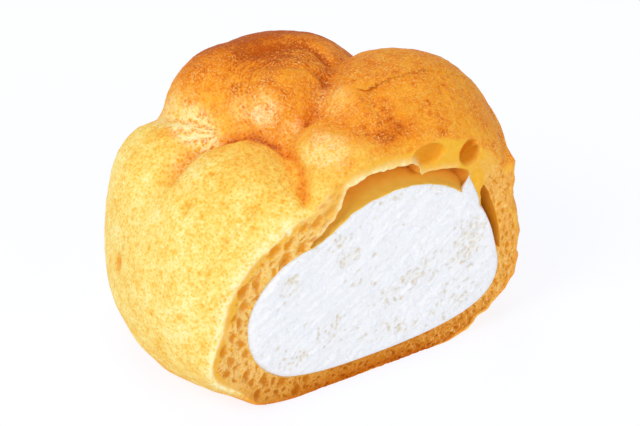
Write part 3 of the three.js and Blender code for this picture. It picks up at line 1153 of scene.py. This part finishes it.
def dough_grain():
    """Fine grain of baked dough: a mottle and a height, both at a given size in millimetres."""
    tree, wires, given, result = group(
        "dough grain", ("Vector", "Size", "Contrast"), ("Mottle", "Height"))
    place, size, contrast = (given[label] for label in ("Vector", "Size", "Contrast"))
    scale = wires.math("DIVIDE", scale_for(1), size)
    broad = wires.noise(place, wires.times(scale, 0.28), 3.0, 0.55)
    fine = wires.noise(place, scale, 3.0, 0.6)
    speck = wires.spread(wires.cells(place, wires.times(scale, 0.9))["Distance"], 0.10, 0.55)
    blend = wires.plus(wires.times(broad, 0.45), fine, 0.55)
    mottle = wires.plus(0.5, wires.centred(blend), contrast, clamp=True)
    wires.feed(result["Mottle"], mottle)
    wires.feed(result["Height"], wires.plus(wires.times(fine, 0.7), speck, 0.3))
    return tree


GRAIN = dough_grain()


def use_grain(wires, place, size, contrast):
    inputs = {"Vector": place, "Size": size, "Contrast": contrast}
    outputs = wires.add("ShaderNodeGroup", inputs, node_tree=GRAIN)
    return outputs["Mottle"], outputs["Height"]


SKIN_MARKS = ("Bake", "Fold", "Pore", "Pale", "Stroke", "Stroked")
SKIN_COLOURS = [  # from raw to darkest
    (0.0, (255, 240, 166)), (0.14, (254, 225, 126)), (0.28, (252, 206, 92)), (0.44, (249, 184, 64)),
    (0.62, (245, 158, 42)), (0.80, (233, 130, 28)), (1.0, (192, 86, 16)),
]
LEAST_SHADE = 0.16
STROKE_WIDTH = 0.85  # millimetres


def baked_skin():
    """The look of baked dough skin, from how deeply it is baked and the marks on it, with painted glints
    and sparks of highlight.
    """
    tree, wires, given, result = group(
        "baked skin", ("Vector", *SKIN_MARKS), ("Color", "Height", "Roughness"))
    place = given["Vector"]
    bake, fold, pore, pale, stroke, stroked = (given[label] for label in SKIN_MARKS)
    mottle, height = use_grain(wires, place, 1.0, 2.6)
    broad = wires.noise(place, scale_for(7), 3.0, 0.6)
    specks = wires.noise(place, scale_for(0.48), 2.0, 0.7)
    baked = wires.spread(bake, 0.15, 0.5)
    specked = wires.times(wires.centred(specks), wires.fade(baked, 0.75))
    # dimples close together, as in foam, and dots in some cells of a coarser pattern
    from_middle = wires.cells(wires.pushed(place, 1.0, 0.3), scale_for(0.75))["Distance"]
    foam = wires.times(wires.spread(from_middle, 0.12, 0.55, 0.6, -0.4), wires.fade(baked, 0.2))
    cells = wires.cells(place, scale_for(1.3))
    dots = wires.times(wires.spread(cells["Distance"], 0.12, 0.30, 1.0, 0.0),
                       wires.spread(cells["Color"], 0.45, 0.5), wires.fade(baked, 0.25))
    # fine strokes, as in skin that was pulled
    wave = wires.plus(stroke, wires.noise(place, scale_for(1.6), 1.0, 0.5), 1.1)
    wave = wires.math("SINE", wires.times(wave, 2 * math.pi / STROKE_WIDTH))
    # lighter where the skin is thin, between the dimples; in the pale patches round the knob this is part
    # of a painted highlight
    light = wires.times(wires.spread(specks, 0.40, 0.60, 0.1, 1.15),
                        wires.spread(from_middle, 0.15, 0.45, 0.7, 1.05))
    shade = wires.math("ADD", bake, LEAST_SHADE)
    for pattern, amount in (
        (wires.centred(mottle), 0.28), (wires.centred(broad), 0.40), (specked, 0.60), (baked, 0.01),
        (foam, 0.17), (wires.times(wave, stroked), 0.13), (dots, 0.12), (fold, 0.30), (pore, 0.25),
    ):
        shade = wires.plus(shade, pattern, amount)
    shade = wires.plus(shade, wires.times(pale, light), -0.36, clamp=True)
    base = wires.ramp(shade, SKIN_COLOURS)
    # painted highlights: a pale net of glints between the dimples, and painted sparks of highlight where
    # the glazed skin is baked
    net = wires.times(wires.spread(from_middle, 0.36, 0.56), wires.spread(specks, 0.42, 0.56))
    glint = wires.times(wires.plus(wires.plus(0.08, pale, 0.75), baked, -0.06), net)
    painted_sparks = wires.spread(wires.noise(place, scale_for(0.42), 1.0, 0.5), 0.50, 0.70)
    painted_sparks = wires.times(painted_sparks, wires.spread(broad, 0.35, 0.6, 0.35, 1.0), baked)
    spark_highlight_colour = wires.mix(wires.spread(bake, 0.45, 0.85), colour(255, 208, 122), colour(232, 146, 60))
    base = wires.mix(wires.plus(glint, painted_sparks, 0.75, clamp=True), base,
                     wires.mix(baked, colour(255, 240, 196), spark_highlight_colour))
    height = wires.plus(wires.plus(height, specks, 0.5), foam, -0.4)
    wires.feed(result["Color"], base)
    wires.feed(result["Height"], wires.times(height, wires.spread(bake, 0.0, 0.8, 0.7, 1.6)))
    wires.feed(result["Roughness"], wires.spread(pale, 0.0, 1.0, 0.55, 0.36))
    return tree


BAKED = baked_skin()


def use_baked(wires, place):
    marks = {label: wires.attribute(label.lower()) for label in SKIN_MARKS}
    return wires.add("ShaderNodeGroup", {"Vector": place, **marks}, node_tree=BAKED)


def shader(name, values):
    """A new finish, its wiring and its shader's inputs, some of which have plain values."""
    finish = bpy.data.materials.new(name)
    finish.use_nodes = True
    inputs = finish.node_tree.nodes["Principled BSDF"].inputs
    for label, value in values.items():
        inputs[label].default_value = value
    return finish, Wiring(finish.node_tree), inputs


def bump(wires, inputs, height, depth, strength):
    relief = {"Height": height, "Distance": depth * MM, "Strength": strength}
    wires.feed(inputs["Normal"], wires.add("ShaderNodeBump", relief)["Normal"])


# ---------------------------------------------------------------- finishes


def crust_finish():
    finish, wires, inputs = shader("golden crust", {
        "Subsurface Weight": 0.1, "Subsurface Radius": (1.0, 0.5, 0.15), "Subsurface Scale": 1.2 * MM,
        "Coat Roughness": 0.28, "Specular IOR Level": 0.07, "Specular Tint": (1.0, 0.7, 0.3, 1.0),
    })
    skin = use_baked(wires, wires.place())
    wires.feed(inputs["Base Color"], skin["Color"])
    wires.feed(inputs["Roughness"], skin["Roughness"])
    wires.feed(inputs["Coat Weight"], wires.times(wires.attribute("pale"), 0.8, clamp=True))
    bump(wires, inputs, skin["Height"], 0.26, 1.0)
    return finish


CRUMB_COLOURS = {  # barely toasted, fully toasted
    "light": ((255, 206, 88), (206, 110, 4)),
    "dark": ((251, 179, 48), (174, 78, 0)),
    "amber light": ((255, 196, 74), (204, 102, 4)),
    "amber dark": ((248, 162, 38), (172, 72, 0)),
    "hole": ((236, 154, 32), (166, 72, 0)),
    "thread": ((255, 230, 164), (240, 166, 62)),
}


def crumb_finish():
    finish, wires, inputs = shader("open crumb", {
        "Roughness": 0.6, "Subsurface Weight": 0.2, "Subsurface Radius": (1.0, 0.55, 0.18),
        "Subsurface Scale": 0.8 * MM, "Specular IOR Level": 0.04, "Specular Tint": (1.0, 0.7, 0.3, 1.0),
    })
    place = wires.place()
    mottle, height = use_grain(wires, place, 0.7, 2.2)
    bubble, smooth, toast, amber = map(wires.attribute, ("bubble", "smooth", "toast", "amber"))
    shades = {
        name: wires.mix(toast, colour(*barely), colour(*fully))
        for name, (barely, fully) in CRUMB_COLOURS.items()
    }
    body = wires.mix(mottle, wires.mix(amber, shades["light"], shades["amber light"]),
                     wires.mix(amber, shades["dark"], shades["amber dark"]))
    body = wires.mix(wires.times(smooth, 0.8), body, colour(243, 179, 36))
    # darker amber inside the bubbles: partly their skin, partly painted shade
    body = wires.mix(wires.spread(bubble, 0.0, 0.9), body, shades["hole"])
    # thin, pale threads of dough, faint where it is smooth, amber or toasted
    ragged = wires.pushed(place, 1.2, 0.9)
    threads = wires.times(
        wires.math("MAXIMUM", wires.threads(ragged, (1.5, 0.8), 0.08), wires.net(ragged, 1.5, 0.11)),
        wires.spread(bubble, 0.3, 0.9, 0.68, 0.12), wires.fade(amber, 0.45), wires.fade(smooth, 0.15),
        wires.spread(toast, 0.25, 0.7, 1.0, 0.12),
    )
    body = wires.mix(threads, body, shades["thread"])
    # pale upright fibres
    upright = wires.noise(wires.vector("MULTIPLY", ragged, (1, 1, 0.35)), scale_for(0.5), 2.0, 0.7)
    fibres = wires.times(
        wires.spread(upright, 0.52, 0.62, 0.0, 0.7), wires.spread(toast, 0.3, 1.0, 1.0, 0.3),
        wires.fade(smooth, 0.2), wires.spread(amber, 0.0, 1.0, 0.4, 1.0),
        wires.spread(bubble, 0.2, 0.8, 1.0, 0.0),
    )
    body = wires.mix(fibres, body, colour(255, 212, 136))
    # the baked skin reaches a little way in from the rim
    depth = wires.spread(wires.attribute("inside"), 0.6, 1.3)
    base = wires.mix(depth, use_baked(wires, place)["Color"], body)
    # pale torn dough, and the painted highlight along the left rim, take the lip's colour
    wires.feed(inputs["Base Color"], wires.mix(wires.attribute("lip"), base, colour(255, 238, 178)))
    bump(wires, inputs, wires.plus(height, threads, 0.3), 0.25, 0.8)
    return finish


def lining_finish():
    finish, wires, inputs = shader("amber lining", {
        "Subsurface Weight": 0.3, "Subsurface Radius": (1.0, 0.5, 0.15), "Subsurface Scale": 2.5 * MM,
        "Roughness": 0.5, "Specular IOR Level": 0.2, "Specular Tint": (1.0, 0.75, 0.4, 1.0),
    })
    mottle, height = use_grain(wires, wires.place(), 1.6, 1.6)
    base = wires.mix(mottle, colour(254, 196, 86), colour(244, 171, 54))
    # deeper, darker amber inside the side slit: painted shade in that narrow pocket
    wires.feed(inputs["Base Color"], wires.mix(wires.attribute("slit"), base, colour(236, 156, 28)))
    bump(wires, inputs, height, 0.2, 0.5)
    return finish


def cream_finish():
    finish, wires, inputs = shader("whipped cream", {
        "Roughness": 0.55, "Subsurface Weight": 0.3, "Subsurface Radius": (1.0, 0.9, 0.8),
        "Subsurface Scale": 3.0 * MM,
    })
    place = wires.place()
    mottle, height = use_grain(wires, place, 0.8, 1.0)
    # a faint beige tint in blots over the pitted areas
    blots = wires.spread(wires.noise(place, scale_for(0.9), 2.0, 0.6), 0.42, 0.65, 0.0, 0.6)
    stain = wires.times(wires.attribute("stain"), blots, clamp=True)
    base = wires.mix(mottle, colour(250, 251, 253), colour(240, 242, 247))
    base = wires.mix(stain, base, colour(243, 234, 212))
    # darker beige where each pit lies: painted shade in the pits, with a beige tint
    pit = wires.times(wires.attribute("pit"), 0.85, clamp=True)
    wires.feed(inputs["Base Color"], wires.mix(pit, base, colour(228, 210, 168)))
    bump(wires, inputs, height, 0.4, 1.0)
    return finish


# ---------------------------------------------------------------- studio

FLOOR_SIZE = 6  # metres
SURROUNDINGS = 0.44  # strength of the even white light from all round
LIT_HEIGHT = 0.03  # metres above the floor, where the lamps point
SOFTBOXES = {  # towards the lamp, how far off and how wide it is in metres, watts
    "key": ((-0.72, -0.2, 0.68), 0.8, 0.45, 2.8),
    "top": ((0.1, 0.5, 0.85), 0.8, 0.5, 1.2),
    "front": ((0.15, -0.85, 0.45), 0.9, 0.5, 2.0),
}


def add_floor():
    select_nothing()
    bpy.ops.mesh.primitive_plane_add(size=FLOOR_SIZE, location=(0, 0, 0))
    floor = bpy.context.object
    floor.name = "floor"
    finish, _, _ = shader("pale floor", {
        "Base Color": (0.17, 0.18, 0.23, 1), "Roughness": 0.8,
        "Emission Color": (0.97, 0.98, 1, 1), "Emission Strength": 0.83,
    })
    floor.data.materials.append(finish)


def add_softbox(name, direction, distance, size, watts):
    data = bpy.data.lights.new(name, "AREA")
    data.shape = "DISK"
    data.size = size
    data.energy = watts
    lamp = bpy.data.objects.new(name, data)
    bpy.context.scene.collection.objects.link(lamp)
    x, y, z = towards = np.array(direction) / np.linalg.norm(direction)
    lamp.location = towards * distance + np.array([0, 0, LIT_HEIGHT])
    lamp.rotation_euler = (math.atan2(math.hypot(x, y), z), 0, math.atan2(y, x) + math.pi / 2)


def light_studio():
    world = bpy.data.worlds.new("studio")
    bpy.context.scene.world = world
    world.use_nodes = True
    world.node_tree.nodes["Background"].inputs["Color"].default_value = (1, 1, 1, 1)
    world.node_tree.nodes["Background"].inputs["Strength"].default_value = SURROUNDINGS
    for name, lamp in SOFTBOXES.items():
        add_softbox(name, *lamp)
    bpy.context.scene.view_settings.view_transform = "Standard"


add_floor()
light_studio()
finish_shell(make_shell(), [crust_finish(), crumb_finish(), lining_finish()])
make_cream(cream_finish())
